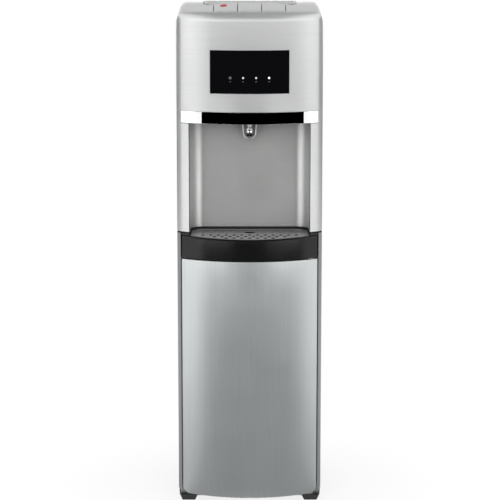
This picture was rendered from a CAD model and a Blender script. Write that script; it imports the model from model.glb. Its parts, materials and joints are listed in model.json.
import json
import math

import bmesh
import bpy
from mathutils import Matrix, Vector


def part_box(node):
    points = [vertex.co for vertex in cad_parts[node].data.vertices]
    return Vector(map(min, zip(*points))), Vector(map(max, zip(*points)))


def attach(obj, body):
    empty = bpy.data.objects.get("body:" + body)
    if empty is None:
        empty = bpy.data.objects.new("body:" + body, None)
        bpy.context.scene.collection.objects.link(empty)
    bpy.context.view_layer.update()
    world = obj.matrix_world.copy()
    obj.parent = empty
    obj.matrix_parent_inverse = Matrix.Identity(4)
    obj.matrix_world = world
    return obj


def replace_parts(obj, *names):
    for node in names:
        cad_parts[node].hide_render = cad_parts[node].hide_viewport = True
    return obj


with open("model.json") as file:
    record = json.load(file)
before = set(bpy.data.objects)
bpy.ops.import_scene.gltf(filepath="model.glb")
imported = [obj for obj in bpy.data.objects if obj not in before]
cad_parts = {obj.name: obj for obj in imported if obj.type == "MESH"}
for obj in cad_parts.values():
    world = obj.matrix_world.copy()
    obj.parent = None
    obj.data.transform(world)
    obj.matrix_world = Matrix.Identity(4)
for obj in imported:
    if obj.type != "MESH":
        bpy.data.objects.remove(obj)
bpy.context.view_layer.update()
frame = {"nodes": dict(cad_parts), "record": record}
scene = bpy.context.scene
nodes = frame["nodes"]

# ---------------------------------------- sizes shared with the CAD, in metres
FRONT_Y = -0.1817
BOW = 0.255
WINDOW_BOTTOM = 0.8945
WINDOW_TOP = 0.9846
WINDOW_HALF = 0.0825
LIGHT_LEVEL = 0.9276
NOZZLE_Y = FRONT_Y + 0.076


def bow_y(x, inset=0.0):
    """Y of the bowed front at x, for a surface set back by inset."""
    return FRONT_Y + BOW - math.sqrt((BOW - inset) ** 2 - x * x)


# ---------------------------------------- material graphs
class Graph:
    """A material under construction: a Principled shader and the nodes that feed it."""

    def __init__(self, name):
        self.material = bpy.data.materials.new(name)
        self.material.use_nodes = True
        self.tree = self.material.node_tree
        self.shader = self.tree.nodes["Principled BSDF"]
        self.place = self.add("ShaderNodeTexCoord").outputs["Object"]

    def add(self, kind, **settings):
        made = self.tree.nodes.new(kind)
        for key, value in settings.items():
            setattr(made, key, value)
        return made

    def feed(self, socket, value):
        if isinstance(value, bpy.types.NodeSocket):
            self.tree.links.new(value, socket)
        else:
            socket.default_value = value

    def math(self, operation, a, b=0.0, clamp=False):
        made = self.add("ShaderNodeMath", operation=operation, use_clamp=clamp)
        self.feed(made.inputs[0], a)
        self.feed(made.inputs[1], b)
        return made.outputs[0]

    def stretched(self, scale):
        made = self.add("ShaderNodeMapping")
        self.feed(made.inputs["Vector"], self.place)
        made.inputs["Scale"].default_value = scale
        return made.outputs[0]

    def noise(self, scale, detail=2.0, rough=0.5, twist=0.0, where=None):
        made = self.add("ShaderNodeTexNoise")
        self.feed(made.inputs["Vector"], where or self.place)
        made.inputs["Scale"].default_value = scale
        made.inputs["Detail"].default_value = detail
        made.inputs["Roughness"].default_value = rough
        made.inputs["Distortion"].default_value = twist
        return made.outputs["Fac"]

    def cells(self, scale, feature="F1", output="Distance"):
        made = self.add("ShaderNodeTexVoronoi", feature=feature)
        self.feed(made.inputs["Vector"], self.place)
        made.inputs["Scale"].default_value = scale
        return made.outputs[output]

    def spread(self, value, low, high, to_low, to_high):
        made = self.add("ShaderNodeMapRange")
        self.feed(made.inputs["Value"], value)
        made.inputs["From Min"].default_value = low
        made.inputs["From Max"].default_value = high
        made.inputs["To Min"].default_value = to_low
        made.inputs["To Max"].default_value = to_high
        return made.outputs[0]

    def blend(self, factor, a, b, kind="MIX"):
        made = self.add("ShaderNodeMix", data_type="RGBA", blend_type=kind)
        self.feed(made.inputs["Factor"], factor)
        for socket, value in ((made.inputs[6], a), (made.inputs[7], b)):
            self.feed(socket, value if isinstance(value, bpy.types.NodeSocket) else (*value, 1.0))
        return made.outputs[2]

    def relief(self, height, strength, distance, under=None):
        made = self.add("ShaderNodeBump")
        self.feed(made.inputs["Height"], height)
        made.inputs["Strength"].default_value = strength
        made.inputs["Distance"].default_value = distance
        if under is not None:
            self.feed(made.inputs["Normal"], under)
        return made.outputs[0]

    def rounded(self, radius):
        made = self.add("ShaderNodeBevel", samples=6)
        made.inputs["Radius"].default_value = radius
        return made.outputs[0]

    def creases(self, reach, local=True):
        made = self.add("ShaderNodeAmbientOcclusion", samples=6, only_local=local)
        made.inputs["Distance"].default_value = reach
        return made.outputs["AO"]


WORN_EDGE = (0.62, 0.62, 0.6)


def scaled(colour, by):
    """Colour made lighter or darker by a factor."""
    return tuple(min(1.0, c * by) for c in colour)


def finish(
    name,
    colour,
    metal=0.0,
    rough=0.45,
    drift=0.05,
    grain=1800.0,
    grain_depth=0.12,
    peel=160.0,
    peel_depth=0.0,
    smudge=0.04,
    edge=0.0006,
    edge_wear=0.0,
    dirt=0.0,
    coat=0.0,
    coat_rough=0.08,
    ior=1.48,
):
    """Moulded or painted surface: colour drift, grain, smudged gloss and rounded edges."""
    g = Graph(name)
    broad = g.noise(7.0, 3.0)
    fine = g.noise(grain * 0.22, 3.0)
    mixed = g.math("ADD", g.math("MULTIPLY", broad, 0.6), g.math("MULTIPLY", fine, 0.4))
    share = g.spread(mixed, 0.3, 0.7, 0.0, 1.0)
    tone = g.blend(share, scaled(colour, 1 - drift), scaled(colour, 1 + drift))
    if dirt:
        shade = g.spread(g.creases(0.006), 0.2, 0.95, 0.0, 1.0)
        tone = g.blend(shade, scaled(colour, 1 - dirt), tone)
    normal = g.rounded(edge)
    if edge_wear:
        plain = g.add("ShaderNodeNewGeometry").outputs["Normal"]
        turn = g.add("ShaderNodeVectorMath", operation="DOT_PRODUCT")
        g.feed(turn.inputs[0], plain)
        g.feed(turn.inputs[1], normal)
        worn = g.spread(turn.outputs["Value"], 0.995, 0.86, 0.0, edge_wear)
        worn = g.math("MULTIPLY", worn, g.spread(g.noise(90.0, 4.0), 0.42, 0.62, 0.0, 1.0))
        tone = g.blend(worn, tone, WORN_EDGE)
    g.feed(g.shader.inputs["Base Color"], tone)
    rub = g.spread(g.noise(9.0, 4.0, 0.6, 1.2), 0.35, 0.7, 0.0, 1.0)
    speck = g.noise(grain * 0.4, 2.0)
    gloss = g.math("ADD", rough - smudge, g.math("MULTIPLY", rub, 1.5 * smudge))
    gloss = g.math("ADD", gloss, g.math("MULTIPLY", speck, smudge), clamp=True)
    g.feed(g.shader.inputs["Roughness"], gloss)
    if peel_depth:
        normal = g.relief(g.noise(peel, 2.0), peel_depth, 0.0004, normal)
    normal = g.relief(g.noise(grain, 2.0), grain_depth, 0.00012, normal)
    g.feed(g.shader.inputs["Normal"], normal)
    g.shader.inputs["Metallic"].default_value = metal
    g.shader.inputs["IOR"].default_value = ior
    g.shader.inputs["Coat Weight"].default_value = coat
    g.shader.inputs["Coat Roughness"].default_value = coat_rough
    return g.material


def metallic_paint(
    name,
    colour,
    metal,
    rough,
    streak,
    streak_depth,
    shade=0.0,
    reach=0.05,
):
    """Silver lacquer: tilted flakes, a faint drawn grain, and shade in the corners if asked."""
    g = Graph(name)
    flake = g.cells(2600.0, output="Color")
    tilt = g.add("ShaderNodeSeparateColor")
    g.feed(tilt.inputs[0], flake)
    spark = g.spread(tilt.outputs[0], 0.0, 1.0, 0.955, 1.03)
    cloud = g.spread(g.noise(5.0, 3.0, 0.55, 0.4), 0.3, 0.7, 0.985, 1.012)
    level = g.math("MULTIPLY", spark, cloud)
    line = g.noise(1.0, 3.0, 0.55, where=g.stretched(streak))
    grain = g.spread(line, 0.3, 0.7, 1 - streak_depth, 1 + streak_depth)
    level = g.math("MULTIPLY", level, grain)
    if shade:
        open_sky = g.creases(reach, local=False)
        level = g.math("MULTIPLY", level, g.spread(open_sky, 0.15, 0.9, 1 - shade, 1.0))
    base = g.add("ShaderNodeVectorMath", operation="SCALE")
    base.inputs[0].default_value = colour
    g.feed(base.inputs["Scale"], level)
    g.feed(g.shader.inputs["Base Color"], base.outputs[0])
    rub = g.spread(g.noise(8.0, 5.0, 0.6, 1.0), 0.35, 0.7, rough - 0.02, rough + 0.035)
    speck = g.math("MULTIPLY", g.noise(900.0, 2.0), 0.03)
    g.feed(g.shader.inputs["Roughness"], g.math("ADD", rub, speck))
    normal = g.rounded(0.0009)
    normal = g.relief(g.noise(140.0, 2.0), 0.035, 0.0004, normal)
    normal = g.relief(tilt.outputs[1], 0.05, 0.00006, normal)
    g.feed(g.shader.inputs["Normal"], normal)
    g.shader.inputs["Metallic"].default_value = metal
    return g.material


def brushed(name, colour, rough, along, depth=0.25, metal=1.0):
    """Rolled or drawn metal with fine lines along one axis."""
    g = Graph(name)
    scale = [900.0, 900.0, 900.0]
    scale[along] = 9.0
    line = g.noise(1.0, 3.0, 0.6, where=g.stretched(scale))
    cloud = g.noise(14.0, 3.0)
    tone = g.blend(g.spread(line, 0.3, 0.7, 0.0, 1.0), scaled(colour, 0.9), scaled(colour, 1.08))
    tone = g.blend(g.spread(cloud, 0.35, 0.75, 0.0, 0.35), tone, scaled(colour, 0.8))
    g.feed(g.shader.inputs["Base Color"], tone)
    g.feed(g.shader.inputs["Roughness"], g.spread(line, 0.2, 0.8, rough - 0.07, rough + 0.1))
    g.feed(g.shader.inputs["Normal"], g.relief(line, depth, 0.00005, g.rounded(0.0005)))
    g.shader.inputs["Metallic"].default_value = metal
    return g.material


def galvanised(name, colour, rough):
    """Zinc-coated sheet: flat crystals of slightly different tone and gloss."""
    g = Graph(name)
    crystal = g.cells(75.0, output="Color")
    part = g.add("ShaderNodeSeparateColor")
    g.feed(part.inputs[0], crystal)
    tone = g.blend(part.outputs[0], scaled(colour, 0.86), scaled(colour, 1.12))
    tone = g.blend(g.spread(g.noise(11.0, 4.0), 0.4, 0.75, 0.0, 0.3), tone, scaled(colour, 0.7))
    g.feed(g.shader.inputs["Base Color"], tone)
    gloss = g.spread(part.outputs[1], 0.0, 1.0, rough - 0.08, rough + 0.1)
    g.feed(g.shader.inputs["Roughness"], gloss)
    normal = g.relief(g.noise(700.0, 2.0), 0.12, 0.0001, g.rounded(0.0005))
    g.feed(g.shader.inputs["Normal"], normal)
    g.shader.inputs["Metallic"].default_value = 0.9
    return g.material


def mirror(name, colour, rough):
    """Plated trim: clean mirror with faint wipe marks."""
    g = Graph(name)
    wipe = g.noise(6.0, 5.0, 0.6, 2.0, where=g.stretched((1.0, 1.0, 7.0)))
    tone = g.blend(g.spread(wipe, 0.3, 0.7, 0.0, 1.0), scaled(colour, 0.985), colour)
    g.feed(g.shader.inputs["Base Color"], tone)
    g.feed(g.shader.inputs["Roughness"], g.spread(wipe, 0.35, 0.75, rough, rough + 0.025))
    normal = g.relief(g.noise(60.0, 1.0), 0.004, 0.0004, g.rounded(0.0004))
    g.feed(g.shader.inputs["Normal"], normal)
    g.shader.inputs["Metallic"].default_value = 1.0
    return g.material


def clear_plastic(name, colour):
    """Clear moulding with a faint haze."""
    g = Graph(name)
    g.feed(g.shader.inputs["Base Color"], g.blend(g.noise(40.0), colour, scaled(colour, 0.95)))
    g.feed(g.shader.inputs["Roughness"], g.spread(g.noise(120.0, 3.0), 0.3, 0.7, 0.04, 0.1))
    g.shader.inputs["Transmission Weight"].default_value = 0.85
    g.shader.inputs["IOR"].default_value = 1.49
    return g.material


def silicone(name, colour):
    """Soft milky hose."""
    g = Graph(name)
    g.feed(g.shader.inputs["Base Color"], g.blend(g.noise(30.0, 3.0), colour, scaled(colour, 0.9)))
    g.feed(g.shader.inputs["Roughness"], g.spread(g.noise(200.0, 3.0), 0.3, 0.7, 0.3, 0.45))
    g.feed(g.shader.inputs["Normal"], g.relief(g.noise(900.0), 0.08, 0.0001))
    g.shader.inputs["Subsurface Weight"].default_value = 0.25
    g.shader.inputs["Subsurface Radius"].default_value = (0.004, 0.004, 0.003)
    g.shader.inputs["Transmission Weight"].default_value = 0.15
    return g.material


def lamp_glow(name, colour, strength):
    """Lit spot behind the dark window, brightest in the middle."""
    g = Graph(name)
    g.feed(g.shader.inputs["Base Color"], g.blend(g.noise(900.0), scaled(colour, 0.8), colour))
    g.shader.inputs["Roughness"].default_value = 0.2
    g.feed(g.shader.inputs["Emission Color"], g.blend(g.noise(1500.0), scaled(colour, 0.9), colour))
    g.shader.inputs["Emission Strength"].default_value = strength
    return g.material


SILVER = (0.80, 0.81, 0.805)
DOOR_SILVER = (0.765, 0.80, 0.80)
ACROSS = (6.0, 6.0, 420.0)
UPWARDS = (420.0, 420.0, 5.0)
finishes = {
    "silver_front": metallic_paint("silver_front", SILVER, 0.70, 0.36, ACROSS, 0.02),
    "silver_door": metallic_paint("silver_door", DOOR_SILVER, 0.70, 0.37, UPWARDS, 0.03),
    "bright_trim": mirror("bright_trim", (0.98, 0.98, 0.98), 0.015),
    "smoked_window": finish(
        "smoked_window", (0.004, 0.004, 0.005), rough=0.06, smudge=0.02, grain_depth=0.0, drift=0.1,
        edge=0.0004, ior=1.5,
    ),
    "gloss_black": finish(
        "gloss_black", (0.008, 0.008, 0.0085), rough=0.2, smudge=0.03, grain_depth=0.01,
        peel_depth=0.02, drift=0.12, edge=0.0009, ior=1.5,
    ),
    "niche_silver": metallic_paint(
        "niche_silver", (0.60, 0.605, 0.597), 0.70, 0.36, ACROSS, 0.015, shade=0.4, reach=0.045
    ),
    "grille_grey": finish(
        "grille_grey", (0.31, 0.315, 0.312), metal=0.4, rough=0.3, grain_depth=0.12, dirt=0.9
    ),
    "dark_plastic": finish(
        "dark_plastic", (0.022, 0.022, 0.024), rough=0.4, grain_depth=0.3, drift=0.12, dirt=0.3
    ),
    "black_plastic": finish(
        "black_plastic", (0.014, 0.014, 0.015), rough=0.5, grain_depth=0.4, drift=0.15,
        edge_wear=0.25,
    ),
    "black_rubber": finish(
        "black_rubber", (0.012, 0.012, 0.012), rough=0.7, grain_depth=0.35, drift=0.15
    ),
    "black_steel": finish(
        "black_steel", (0.02, 0.02, 0.021), rough=0.38, grain_depth=0.15, peel_depth=0.15,
        drift=0.12, edge_wear=0.35,
    ),
    "side_paint": finish(
        "side_paint", (0.33, 0.34, 0.35), metal=0.35, rough=0.42, peel_depth=0.12,
        grain_depth=0.2, drift=0.03, edge=0.0009,
    ),
    "rear_sheet": galvanised("rear_sheet", (0.5, 0.5, 0.5), 0.42),
    "zinc_steel": galvanised("zinc_steel", (0.6, 0.6, 0.6), 0.36),
    "stainless": brushed("stainless", (0.66, 0.66, 0.65), 0.28, 0),
    "copper": brushed("copper", (0.72, 0.36, 0.23), 0.3, 2),
    "magnet": finish("magnet", (0.05, 0.05, 0.05), rough=0.6, grain_depth=0.3),
    "liner_grey": finish(
        "liner_grey", (0.56, 0.56, 0.56), rough=0.5, grain_depth=0.15, dirt=0.3, peel_depth=0.05
    ),
    "white_plastic": finish(
        "white_plastic", (0.8, 0.8, 0.79), rough=0.4, grain_depth=0.1, dirt=0.25
    ),
    "white_foam": finish(
        "white_foam", (0.85, 0.85, 0.83), rough=0.9, grain=260.0, grain_depth=0.6, smudge=0.02
    ),
    "board_green": finish(
        "board_green", (0.02, 0.16, 0.07), rough=0.35, grain=420.0, grain_depth=0.25, drift=0.25
    ),
    "red_plastic": finish(
        "red_plastic", (0.42, 0.02, 0.03), rough=0.3, grain_depth=0.06, drift=0.08
    ),
    "green_plastic": finish(
        "green_plastic", (0.02, 0.3, 0.07), rough=0.3, grain_depth=0.06, drift=0.08
    ),
    "clear_acrylic": clear_plastic("clear_acrylic", (0.93, 0.94, 0.94)),
    "hose_silicone": silicone("hose_silicone", (0.78, 0.79, 0.76)),
}


# ---------------------------------------- CAD nodes: shading by angle and finishes
MERGE_DISTANCE = 0.00001
SHARP_ANGLE = 30


def shade_by_angle():
    """Modifier graph that joins split faces and keeps only real edges sharp."""
    group = bpy.data.node_groups.new("shade_by_angle", "GeometryNodeTree")
    group.interface.new_socket("Geometry", in_out="INPUT", socket_type="NodeSocketGeometry")
    group.interface.new_socket("Geometry", in_out="OUTPUT", socket_type="NodeSocketGeometry")
    start = group.nodes.new("NodeGroupInput")
    end = group.nodes.new("NodeGroupOutput")
    merge = group.nodes.new("GeometryNodeMergeByDistance")
    merge.inputs["Distance"].default_value = MERGE_DISTANCE
    faces = group.nodes.new("GeometryNodeSetShadeSmooth")
    faces.domain = "FACE"
    edges = group.nodes.new("GeometryNodeSetShadeSmooth")
    edges.domain = "EDGE"
    edges.inputs["Shade Smooth"].default_value = False
    angle = group.nodes.new("GeometryNodeInputMeshEdgeAngle")
    sharp = group.nodes.new("FunctionNodeCompare")
    sharp.data_type = "FLOAT"
    sharp.operation = "GREATER_THAN"
    sharp.inputs[1].default_value = math.radians(SHARP_ANGLE)
    link = group.links.new
    link(start.outputs[0], merge.inputs["Geometry"])
    link(merge.outputs[0], faces.inputs["Geometry"])
    link(faces.outputs[0], edges.inputs["Geometry"])
    link(angle.outputs[0], sharp.inputs[0])
    link(sharp.outputs[0], edges.inputs["Selection"])
    link(edges.outputs[0], end.inputs[0])
    return group


shading = shade_by_angle()
slots = {part["node"]: part["material_slot"] for part in frame["record"]["subparts"]}
looks = {"door_skin": "silver_door"}
for name, piece in nodes.items():
    piece.data.materials.clear()
    piece.data.materials.append(finishes[looks.get(name, slots[name])])
    if "custom_normal" in piece.data.attributes:
        piece.data.attributes.remove(piece.data.attributes["custom_normal"])
    piece.modifiers.new("shading", "NODES").node_group = shading


# ---------------------------------------- mesh helpers
NEARLY_UPRIGHT = 0.9


def piece_from(name, form, body, slot, finish_name=None):
    """Turn a bmesh into a smooth object that rides on a body."""
    mesh = bpy.data.meshes.new(name)
    bmesh.ops.recalc_face_normals(form, faces=form.faces)
    form.to_mesh(mesh)
    form.free()
    for face in mesh.polygons:
        face.use_smooth = True
    made = bpy.data.objects.new(name, mesh)
    scene.collection.objects.link(made)
    made.data.materials.append(finishes[finish_name or slot])
    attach(made, body)
    return made


def circle(sides):
    """Cosine and sine at each corner of a regular ring."""
    turns = [2 * math.pi * k / sides for k in range(sides)]
    return [(math.cos(turn), math.sin(turn)) for turn in turns]


def square_to(axis, spare):
    """Unit vector square to an axis and to world up, or to a spare one for an upright axis."""
    other = Vector((0, 0, 1)) if abs(axis.z) < NEARLY_UPRIGHT else Vector(spare)
    return axis.cross(other).normalized()


def join_along(form, low, high):
    """Band of faces between two rings of a tube."""
    for k in range(len(low)):
        after = (k + 1) % len(low)
        form.faces.new((low[k], low[after], high[after], high[k]))


def join_outwards(form, last, ring):
    """Faces from a middle point or an inner ring to the ring round it."""
    for k in range(len(ring)):
        after = (k + 1) % len(ring)
        if len(last) == 1:
            form.faces.new((last[0], ring[k], ring[after]))
        else:
            form.faces.new((last[k], ring[k], ring[after], last[after]))


def close_tube(form, rings):
    """Walls between the rings and a face at each end."""
    for low, high in zip(rings, rings[1:]):
        join_along(form, low, high)
    form.faces.new(rings[0])
    form.faces.new(rings[-1])


def tube_along(form, points, radius, sides=10):
    """Round tube through points, with its ends closed."""
    rings = []
    for i, point in enumerate(points):
        before = points[max(i - 1, 0)]
        after = points[min(i + 1, len(points) - 1)]
        along = (Vector(after) - Vector(before)).normalized()
        across = square_to(along, (0, 1, 0))
        up = along.cross(across)
        middle = Vector(point)
        rings.append(
            [form.verts.new(middle + radius * (c * across + s * up)) for c, s in circle(sides)]
        )
    close_tube(form, rings)


def dome_disc(form, centre, radius, height, along, sides=24, rings=4):
    """Shallow dome with its axis along a direction."""
    axis = Vector(along).normalized()
    side = square_to(axis, (1, 0, 0))
    other = axis.cross(side)
    last = [form.verts.new(Vector(centre) + axis * height)]
    for r in range(1, rings + 1):
        lift = height * math.cos(0.5 * math.pi * r / rings)
        out = radius * math.sin(0.5 * math.pi * r / rings)
        middle = Vector(centre) + axis * lift
        ring = [form.verts.new(middle + out * (c * side + s * other)) for c, s in circle(sides)]
        join_outwards(form, last, ring)
        last = ring
    form.faces.new(last)


# ---------------------------------------- lamps and marks of the display
for key, colour, strength in (
    ("dim", (0.15, 0.155, 0.165), 0.03),
    ("middle", (0.7, 0.73, 0.75), 0.35),
    ("bright", (0.85, 0.88, 0.9), 0.8),
    ("mark", (0.22, 0.23, 0.25), 0.05),
):
    finishes["glow_" + key] = lamp_glow("lamp_" + key, colour, strength)

# x, radius and look of each lamp
LAMPS = (
    (-0.0405, 0.0030, "dim"),
    (-0.0135, 0.0021, "middle"),
    (0.0135, 0.0021, "middle"),
    (0.0405, 0.0023, "bright"),
)
LAMP_PROUD = 0.00042
LAMP_HEIGHT = 0.00012
MARK_PROUD = 0.00040
MARK_DROP = 0.0078
MARK_HALF = 0.0016
MARK_RADIUS = 0.0005
for index, (x, radius, look) in enumerate(LAMPS):
    form = bmesh.new()
    dome_disc(form, (x, bow_y(x, -LAMP_PROUD), LIGHT_LEVEL), radius, LAMP_HEIGHT, (x, -BOW, 0))
    piece_from(f"display_lamp_{index + 1}", form, "cabinet", "clear_acrylic", "glow_" + look)
    form = bmesh.new()
    line = [
        (x + step, bow_y(x + step, -MARK_PROUD), LIGHT_LEVEL - MARK_DROP)
        for step in (-MARK_HALF, 0.0, MARK_HALF)
    ]
    tube_along(form, line, MARK_RADIUS, 8)
    piece_from(f"display_mark_{index + 1}", form, "cabinet", "clear_acrylic", "glow_mark")

# thin bright edging along the window's upper and lower joint
EDGING_RADIUS = 0.0004
EDGING_PROUD = 0.00005
EDGING_STEPS = 48
for label, level in (
    ("lower", WINDOW_BOTTOM - EDGING_RADIUS),
    ("upper", WINDOW_TOP + EDGING_RADIUS),
):
    form = bmesh.new()
    line = [WINDOW_HALF * (2 * i / EDGING_STEPS - 1) for i in range(EDGING_STEPS + 1)]
    tube_along(form, [(x, bow_y(x, -EDGING_PROUD), level) for x in line], EDGING_RADIUS, 8)
    piece_from(f"window_edging_{label}", form, "cabinet", "silver_front")


# ---------------------------------------- nozzle: rim of the hood, its lugs and the outlet
NOZZLE_TOP = 0.8305
HOOD_HALF = 0.0150
HOOD_WAIST = 0.0132
HOOD_LOW = 0.7945
RIM_RADIUS = 0.0011
LUG_RADIUS = 0.0024
# distance to the side, distance in front of the outlet's axis, and level
LUG_POINTS = ((0.0125, 0.0075, 0.8285), (0.0085, 0.0085, 0.8262), (0.0035, 0.0088, 0.8255))
# radius and level of each ring of a turned piece; the outlet's starts inside its mouth
OUTLET_PROFILE = (
    (0.0032, 0.8095),
    (0.0034, 0.8036),
    (0.0048, 0.8030),
    (0.0064, 0.8040),
    (0.0074, 0.8064),
    (0.0078, 0.8095),
    (0.0078, 0.8140),
    (0.0073, 0.8160),
    (0.0060, 0.8164),
)
AERATOR_PROFILE = (
    (0.0044, 0.7982),
    (0.0060, 0.7988),
    (0.0066, 0.8010),
    (0.0066, 0.8042),
    (0.0050, 0.8050),
)
NECK_PROFILE = ((0.0056, 0.8160), (0.0060, 0.8175), (0.0062, 0.8230), (0.0070, 0.8290))


def turned(profile, sides=32):
    """Form turned about the outlet's upright axis, closed at both ends."""
    form = bmesh.new()
    rings = []
    for radius, z in profile:
        ring = [(radius * c, NOZZLE_Y + radius * s, z) for c, s in circle(sides)]
        rings.append([form.verts.new(place) for place in ring])
    close_tube(form, rings)
    return form


def hood_line(half, waist, low, top, steps=14):
    """Front view of the hood: sides drawn in slightly, with a round lower end."""
    line = [(-half, top), (-0.5 * (half + waist), 0.5 * (top + low + waist))]
    for i in range(steps + 1):
        turn = math.pi * i / steps
        line.append((-waist * math.cos(turn), low + waist - waist * math.sin(turn)))
    line += [(0.5 * (half + waist), 0.5 * (top + low + waist)), (half, top)]
    return line


form = bmesh.new()
rim_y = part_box("nozzle_shroud")[0][1]
hood = hood_line(HOOD_HALF, HOOD_WAIST, HOOD_LOW, NOZZLE_TOP)
tube_along(form, [(x, rim_y, z) for x, z in hood], RIM_RADIUS, 10)
piece_from("nozzle_hood_rim", form, "cabinet", "niche_silver", "silver_front")
form = bmesh.new()
for side in (-1, 1):
    line = [(side * x, NOZZLE_Y - ahead, z) for x, ahead, z in LUG_POINTS]
    tube_along(form, line, LUG_RADIUS, 12)
piece_from("nozzle_lugs", form, "cabinet", "niche_silver", "silver_front")
outlet = piece_from("nozzle_outlet", turned(OUTLET_PROFILE), "cabinet", "stainless", "bright_trim")
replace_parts(outlet, "nozzle_spout")
piece_from("nozzle_aerator", turned(AERATOR_PROFILE), "cabinet", "stainless", "black_rubber")
piece_from("nozzle_neck", turned(NECK_PROFILE), "cabinet", "stainless", "niche_silver")

# ---------------------------------------- niche: dark joint along the pillars, rim of the well
PILLAR_X = 0.1283
JOINT_INSET = 0.0009
JOINT_LOW = 0.5995
JOINT_STEP = 0.0385
JOINT_POINTS = 7
JOINT_RADIUS = 0.0007
for side, label in ((-1, "left"), (1, "right")):
    form = bmesh.new()
    front = bow_y(PILLAR_X, JOINT_INSET)
    line = [(side * PILLAR_X, front, JOINT_LOW + JOINT_STEP * i) for i in range(JOINT_POINTS)]
    tube_along(form, line, JOINT_RADIUS, 8)
    piece_from(f"niche_joint_{label}", form, "cabinet", "niche_silver", "dark_plastic")

GRILLE_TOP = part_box("drip_grille")[1][2]
FRONT_BAND = 0.012
WELL_HALF = 0.1236
WELL_REAR = FRONT_Y + 0.1104
WELL_CORNER = 0.030
WELL_STEPS = 8
WELL_LEVEL = GRILLE_TOP + 0.0012
form = bmesh.new()
line = [(-WELL_HALF, bow_y(WELL_HALF, FRONT_BAND) + FRONT_BAND, WELL_LEVEL)]
for i in range(WELL_STEPS + 1):
    turn = 0.5 * math.pi * i / WELL_STEPS
    x = -WELL_HALF + WELL_CORNER * (1 - math.cos(turn))
    line.append((x, WELL_REAR - WELL_CORNER * (1 - math.sin(turn)), WELL_LEVEL))
line += [(-x, y, z) for x, y, z in reversed(line)]
tube_along(form, line, RIM_RADIUS, 10)
piece_from("well_rim", form, "cabinet", "dark_plastic", "grille_grey")

# dark oval discs that stand for the holes of the grille's sloping front
DIMPLE_PITCH = 0.0166
DIMPLE_HALF = 0.0042
DIMPLE_REACH = 0.0054
DIMPLE_SIDES = 12
# depth behind the front, and how many stand on each side of the middle
DIMPLE_ROWS = ((0.046, 6), (0.033, 5), (0.020, 4))
SLOPE_DEPTH = 0.050
SLOPE_DROP = 0.0045
SLOPE = 0.09
RING_LIFT = 0.00008
MIDDLE_LIFT = 0.00004
form = bmesh.new()
for row, (depth, count) in enumerate(DIMPLE_ROWS):
    level = GRILLE_TOP - SLOPE_DROP * (1 - depth / SLOPE_DEPTH)
    for column in range(-count, count + 1):
        x = column * DIMPLE_PITCH + (0.5 * DIMPLE_PITCH if row % 2 else 0.0)
        past_end = abs(x) > DIMPLE_PITCH * (count + 0.2)
        if past_end or FRONT_Y + depth < bow_y(x) + FRONT_BAND:
            continue
        ring = []
        for c, s in circle(DIMPLE_SIDES):
            step = DIMPLE_REACH * s
            z = level + SLOPE * step + RING_LIFT
            ring.append(form.verts.new((x + DIMPLE_HALF * c, FRONT_Y + depth + step, z)))
        middle = form.verts.new((x, FRONT_Y + depth, level + MIDDLE_LIFT))
        for k in range(DIMPLE_SIDES):
            form.faces.new((ring[k], ring[(k + 1) % DIMPLE_SIDES], middle))
piece_from("grille_dimples", form, "grille", "grille_grey", "black_rubber")


# ---------------------------------------- condenser behind the cabinet
def bent_line(points, radius, steps=8):
    """Straight runs through the points, with a round bend at each corner."""
    line = [Vector(points[0])]
    for before, corner, after in zip(points, points[1:], points[2:]):
        corner = Vector(corner)
        back = (Vector(before) - corner).normalized()
        ahead = (Vector(after) - corner).normalized()
        half = back.angle(ahead) / 2
        centre = corner + (back + ahead).normalized() * radius / math.sin(half)
        start = corner + back * radius / math.tan(half) - centre
        end = corner + ahead * radius / math.tan(half) - centre
        sweep = start.angle(end)
        for k in range(steps + 1):
            share = k / steps
            line.append(
                centre
                + start * math.sin((1 - share) * sweep) / math.sin(sweep)
                + end * math.sin(share * sweep) / math.sin(sweep)
            )
    line.append(Vector(points[-1]))
    return line


COIL_Y = FRONT_Y + 0.3557
COIL_HALF = 0.118
COIL_BOTTOM = 0.252
COIL_PITCH = 0.078
COIL_PASSES = 8
COIL_RADIUS = 0.0024
COIL_RISE = 0.0195
END_BEND = 0.012
PASS_BEND = 0.45 * COIL_PITCH
WIRE_RADIUS = 0.0008
WIRE_PITCH = 0.0085
WIRE_COLUMNS = 11
WIRE_END = 0.008
CLIP_X = 0.068
CLIP_CLEAR = 0.004
DRIER_X = 0.088
coil_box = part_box("condenser")
coil_top = COIL_BOTTOM + COIL_PITCH * (COIL_PASSES - 1)
route = [(DRIER_X, COIL_Y, coil_box[0][2]), (DRIER_X, COIL_Y, COIL_BOTTOM)]
ends = []
for turn in range(COIL_PASSES):
    side = -1 if turn % 2 == 0 else 1
    level = COIL_BOTTOM + COIL_PITCH * turn
    if turn:
        ends.append((-side * COIL_HALF, COIL_Y, level))
    ends.append((side * COIL_HALF, COIL_Y, level))
risen = (COIL_HALF, COIL_Y, coil_top + COIL_RISE)
corner = (COIL_HALF, COIL_Y, coil_top + COIL_PITCH / 2)
outlet_end = (COIL_HALF, coil_box[0][1], coil_top + COIL_PITCH / 2)
first = bent_line(route + [ends[0]], END_BEND)
middle = bent_line([route[-1]] + ends + [risen], PASS_BEND)
last = bent_line([risen, corner, outlet_end], END_BEND)
form = bmesh.new()
tube_along(form, first[:-1] + middle[1:-1] + last[1:], COIL_RADIUS, 16)
wire_y = COIL_RADIUS + WIRE_RADIUS
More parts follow.
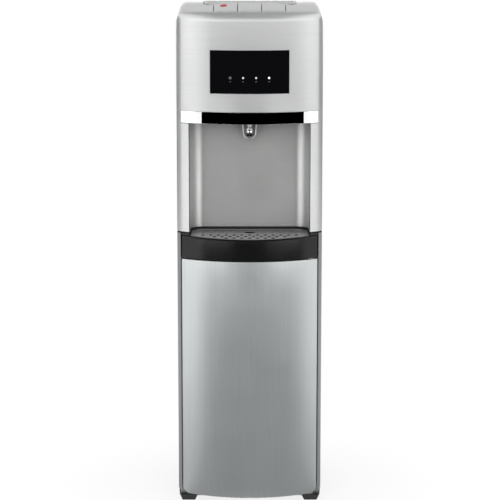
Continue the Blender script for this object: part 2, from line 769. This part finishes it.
for column in range(-WIRE_COLUMNS, WIRE_COLUMNS + 1):
    x = column * WIRE_PITCH
    if abs(abs(x) - CLIP_X) < CLIP_CLEAR:
        continue
    for side in (-1, 1):
        y = COIL_Y + side * wire_y
        wire = [(x, y, COIL_BOTTOM - WIRE_END), (x, y, coil_top + WIRE_END)]
        tube_along(form, wire, WIRE_RADIUS, 10)
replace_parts(piece_from("condenser_grid", form, "cabinet", "black_steel"), "condenser")


# ---------------------------------------- screws of the rear sheet
SCREW_RADIUS = 0.0036
SCREW_ROWS = 4
# share of the radius and of the height at each ring round the middle
SCREW_DOME = ((0.35, 0.97), (0.62, 0.86), (0.82, 0.62), (0.94, 0.3), (1.0, 0.0))
CROSS_REACH = 0.75
CROSS_HALF = 0.2
CROSS_DEPTH = 0.55


def screw_head(form, x, y, z, radius, height, sides=32):
    """Domed head with a cross recess, facing backwards."""
    last = [form.verts.new((x, y + height, z))]
    for share, lift in SCREW_DOME:
        ring = []
        for c, s in circle(sides):
            recessed = share < CROSS_REACH and min(abs(s), abs(c)) < CROSS_HALF
            deep = CROSS_DEPTH * height if recessed else 0.0
            reach = radius * share
            place = (x + reach * c, y + height * lift - deep, z + reach * s)
            ring.append(form.verts.new(place))
        join_outwards(form, last, ring)
        last = ring
    form.faces.new(last)


form = bmesh.new()
low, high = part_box("rear_screws")
flat = SCREW_RADIUS * math.cos(math.radians(30))
for x in (low[0] + SCREW_RADIUS, high[0] - SCREW_RADIUS):
    for row in range(SCREW_ROWS):
        level = low[2] + flat + (high[2] - low[2] - 2 * flat) * row / (SCREW_ROWS - 1)
        screw_head(form, x, low[1], level, SCREW_RADIUS, high[1] - low[1])
screws = piece_from("rear_screw_heads", form, "cabinet", "zinc_steel")
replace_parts(screws, "rear_screws")

# ---------------------------------------- studio: white world, a little dimmer as a light source
WORLD_SEEN = 1.0
WORLD_LIGHT = 0.72
world = bpy.data.worlds.new("studio")
scene.world = world
world.use_nodes = True
tree = world.node_tree
background = tree.nodes["Background"]
path = tree.nodes.new("ShaderNodeLightPath")
mirrored = tree.nodes.new("ShaderNodeMath")
mirrored.operation = "MAXIMUM"
seen = tree.nodes.new("ShaderNodeMath")
seen.operation = "MAXIMUM"
strength = tree.nodes.new("ShaderNodeMapRange")
strength.inputs["To Min"].default_value = WORLD_LIGHT
strength.inputs["To Max"].default_value = WORLD_SEEN
tree.links.new(path.outputs["Is Camera Ray"], mirrored.inputs[0])
tree.links.new(path.outputs["Is Glossy Ray"], mirrored.inputs[1])
tree.links.new(mirrored.outputs[0], seen.inputs[0])
tree.links.new(path.outputs["Is Transmission Ray"], seen.inputs[1])
tree.links.new(seen.outputs[0], strength.inputs["Value"])
tree.links.new(strength.outputs[0], background.inputs["Strength"])
background.inputs["Color"].default_value = (1, 1, 1, 1)


def stage_mesh(name, corners_of_faces):
    """Flat faces that belong to the studio and not to the object."""
    form = bmesh.new()
    for corners in corners_of_faces:
        form.faces.new([form.verts.new(c) for c in corners])
    mesh = bpy.data.meshes.new(name)
    form.to_mesh(mesh)
    form.free()
    made = bpy.data.objects.new(name, mesh)
    scene.collection.objects.link(made)
    return made


# white floor that shows only close round the object, where its contact shade falls
FADE_FROM = 0.16
FADE_TO = 0.44
FADE_SHARE = 0.16
floor = stage_mesh("floor", [((-4, -5, 0), (4, -5, 0), (4, 4, 0), (-4, 4, 0))])
g = Graph("floor_white")
out = g.tree.nodes["Material Output"]
g.shader.inputs["Roughness"].default_value = 0.9
g.feed(g.shader.inputs["Base Color"], g.blend(g.noise(3.0), (0.86,) * 3, (0.88,) * 3))
g.shader.inputs["Specular IOR Level"].default_value = 0.1
clear = g.add("ShaderNodeBsdfTransparent")
distance = g.add("ShaderNodeVectorMath", operation="LENGTH")
g.feed(distance.inputs[0], g.place)
near = g.spread(distance.outputs["Value"], FADE_FROM, FADE_TO, FADE_SHARE, 0.0)
rays = g.add("ShaderNodeLightPath")
looked = g.math("MAXIMUM", rays.outputs["Is Camera Ray"], rays.outputs["Is Glossy Ray"])
looked = g.math("MAXIMUM", looked, rays.outputs["Is Transmission Ray"])
solid = g.math("SUBTRACT", 1.0, g.math("MULTIPLY", looked, g.math("SUBTRACT", 1.0, near)))
blend = g.add("ShaderNodeMixShader")
g.feed(blend.inputs[0], solid)
g.feed(blend.inputs[1], clear.outputs[0])
g.feed(blend.inputs[2], g.shader.outputs[0])
g.feed(out.inputs["Surface"], blend.outputs[0])
floor.data.materials.append(g.material)


def reflection_card(name, corners_of_faces, grey):
    """Plain card that only reflections see."""
    card = stage_mesh(name, corners_of_faces)
    g = Graph(name)
    g.feed(g.shader.inputs["Base Color"], (0.0, 0.0, 0.0, 1.0))
    g.shader.inputs["Roughness"].default_value = 1.0
    g.shader.inputs["Specular IOR Level"].default_value = 0.0
    glow = g.blend(g.noise(2.0), (0.98, 0.98, 0.98), (1.0, 1.0, 1.0))
    g.feed(g.shader.inputs["Emission Color"], glow)
    g.shader.inputs["Emission Strength"].default_value = grey
    card.data.materials.append(g.material)
    card.visible_camera = False
    card.visible_diffuse = False
    card.visible_shadow = False
    card.visible_transmission = False


def spans(first, last, steps):
    """Pairs of neighbouring angles in radians, between two angles in degrees."""
    turns = [math.radians(first + (last - first) * k / steps) for k in range(steps + 1)]
    return zip(turns, turns[1:])


def around(radius, turn):
    """X and Y at a distance and an azimuth from the object's front."""
    return radius * math.sin(turn), -radius * math.cos(turn)


def arc_card(left, right, radius, low, high, steps=24):
    """Faces of an upright card bent round the object between two azimuths from its front."""
    faces = []
    for a, b in spans(left, right, steps):
        pa, pb = around(radius, a), around(radius, b)
        faces.append(((*pa, low), (*pb, low), (*pb, high), (*pa, high)))
    return faces


def arc_apron(left, right, outer, steps=24):
    """Faces of a flat card over the floor between two azimuths, out to a distance."""
    faces = []
    for a, b in spans(left, right, steps):
        corners = ((APRON_INNER, a), (APRON_INNER, b), (outer, b), (outer, a))
        faces.append([(*around(radius, turn), CARD_LOW) for radius, turn in corners])
    return faces


def arch_card(low, high, radius, half, steps=16):
    """Faces of a card bent over the head between two elevations, 0 in front and 180 behind."""
    faces = []
    for a, b in spans(low, high, steps):
        ya, za = HEAD_Y - radius * math.cos(a), HEAD_Z + radius * math.sin(a)
        yb, zb = HEAD_Y - radius * math.cos(b), HEAD_Z + radius * math.sin(b)
        faces.append(((-half, ya, za), (half, ya, za), (half, yb, zb), (-half, yb, zb)))
    return faces


HEAD_Y, HEAD_Z = -0.12, 1.05
CARD_LEFT, CARD_RIGHT = -47.0, 53.6
CARD_RADIUS = 3.6
CARD_LOW = 0.01
APRON_INNER = 0.20
dark_faces = arc_card(CARD_LEFT, CARD_RIGHT, CARD_RADIUS, CARD_LOW, 1.13)
dark_faces += arc_apron(CARD_LEFT, CARD_RIGHT, CARD_RADIUS)
for name, faces, grey in (
    ("dark_card", dark_faces, 0.0),
    ("apron_left", arc_apron(-110.0, CARD_LEFT, 1.0), 0.35),
    ("apron_right", arc_apron(CARD_RIGHT, 110.0, 1.0), 0.35),
    ("ridge_card", arc_card(-56.0, 56.0, 3.2, 1.12, 2.3), 1.4),
    ("overhead_card", arch_card(24.0, 112.0, 2.0, 1.6), 0.0),
    ("back_card", arch_card(112.0, 162.0, 2.2, 2.2), 0.57),
    ("horizon_card", arch_card(164.0, 183.0, 2.3, 2.2), 2.4),
    ("left_card", arc_card(-177.0, -74.0, 3.2, CARD_LOW, 2.2), 0.03),
    ("right_card", arc_card(75.0, 177.0, 3.2, CARD_LOW, 2.2), 0.1),
    ("left_strip", arc_card(-70.0, -53.0, 3.0, 0.5, 2.2), 1.5),
    ("right_strip", arc_card(58.0, 71.0, 3.0, 0.5, 2.2), 1.5),
    ("left_strip_low", arc_card(-72.0, -50.0, 3.0, 0.15, 0.5), 0.75),
    ("right_strip_low", arc_card(56.0, 72.0, 3.0, 0.05, 0.5), 0.6),
):
    reflection_card(name, faces, grey)

# x and y of the two upright edges of the cards that the niche reflects, seen from the camera
NICHE_CARD_NEAR = (0.19, -0.66)
NICHE_CARD_FAR = (0.42, -0.42)
NICHE_CARD_LEVELS = (0.53, 0.70)
for side, label in ((-1, "left"), (1, "right")):
    near_edge = (side * NICHE_CARD_NEAR[0], NICHE_CARD_NEAR[1])
    far_edge = (side * NICHE_CARD_FAR[0], NICHE_CARD_FAR[1])
    low, high = NICHE_CARD_LEVELS
    corners = ((*near_edge, low), (*far_edge, low), (*far_edge, high), (*near_edge, high))
    reflection_card(f"niche_card_{label}", [corners], 3.4)


def soft_box(name, place, aim, size, power):
    """Rectangular lamp aimed at a point, unseen in reflections."""
    lamp = bpy.data.lights.new(name, "AREA")
    lamp.shape = "RECTANGLE"
    lamp.size, lamp.size_y = size
    lamp.energy = power
    made = bpy.data.objects.new(name, lamp)
    scene.collection.objects.link(made)
    made.location = place
    made.rotation_euler = (Vector(aim) - Vector(place)).to_track_quat("-Z", "Y").to_euler()
    made.visible_glossy = False


soft_box("lamp_over", (0.0, -0.9, 2.7), (0.0, 0.0, 0.6), (1.8, 1.2), 14.0)
soft_box("lamp_left", (-2.4, -1.6, 1.3), (0.0, 0.0, 0.55), (1.2, 2.0), 9.0)
soft_box("lamp_right", (2.4, -1.6, 1.3), (0.0, 0.0, 0.55), (1.2, 2.0), 9.0)

# camera fitted to the photograph: millimetres, metres and degrees from straight down
SENSOR_WIDTH = 36.0
LENS = 134.16
CAMERA_PLACE = (0.00085, -4.0574, 1.2314)
CAMERA_TILT = 80.247
camera_data = bpy.data.cameras.new("camera")
camera_data.sensor_width = SENSOR_WIDTH
camera_data.lens = LENS
camera_data.clip_end = 100.0
camera = bpy.data.objects.new("camera", camera_data)
scene.collection.objects.link(camera)
camera.location = CAMERA_PLACE
camera.rotation_euler = (math.radians(CAMERA_TILT), 0.0, 0.0)
scene.camera = camera
scene.view_settings.view_transform = "Standard"
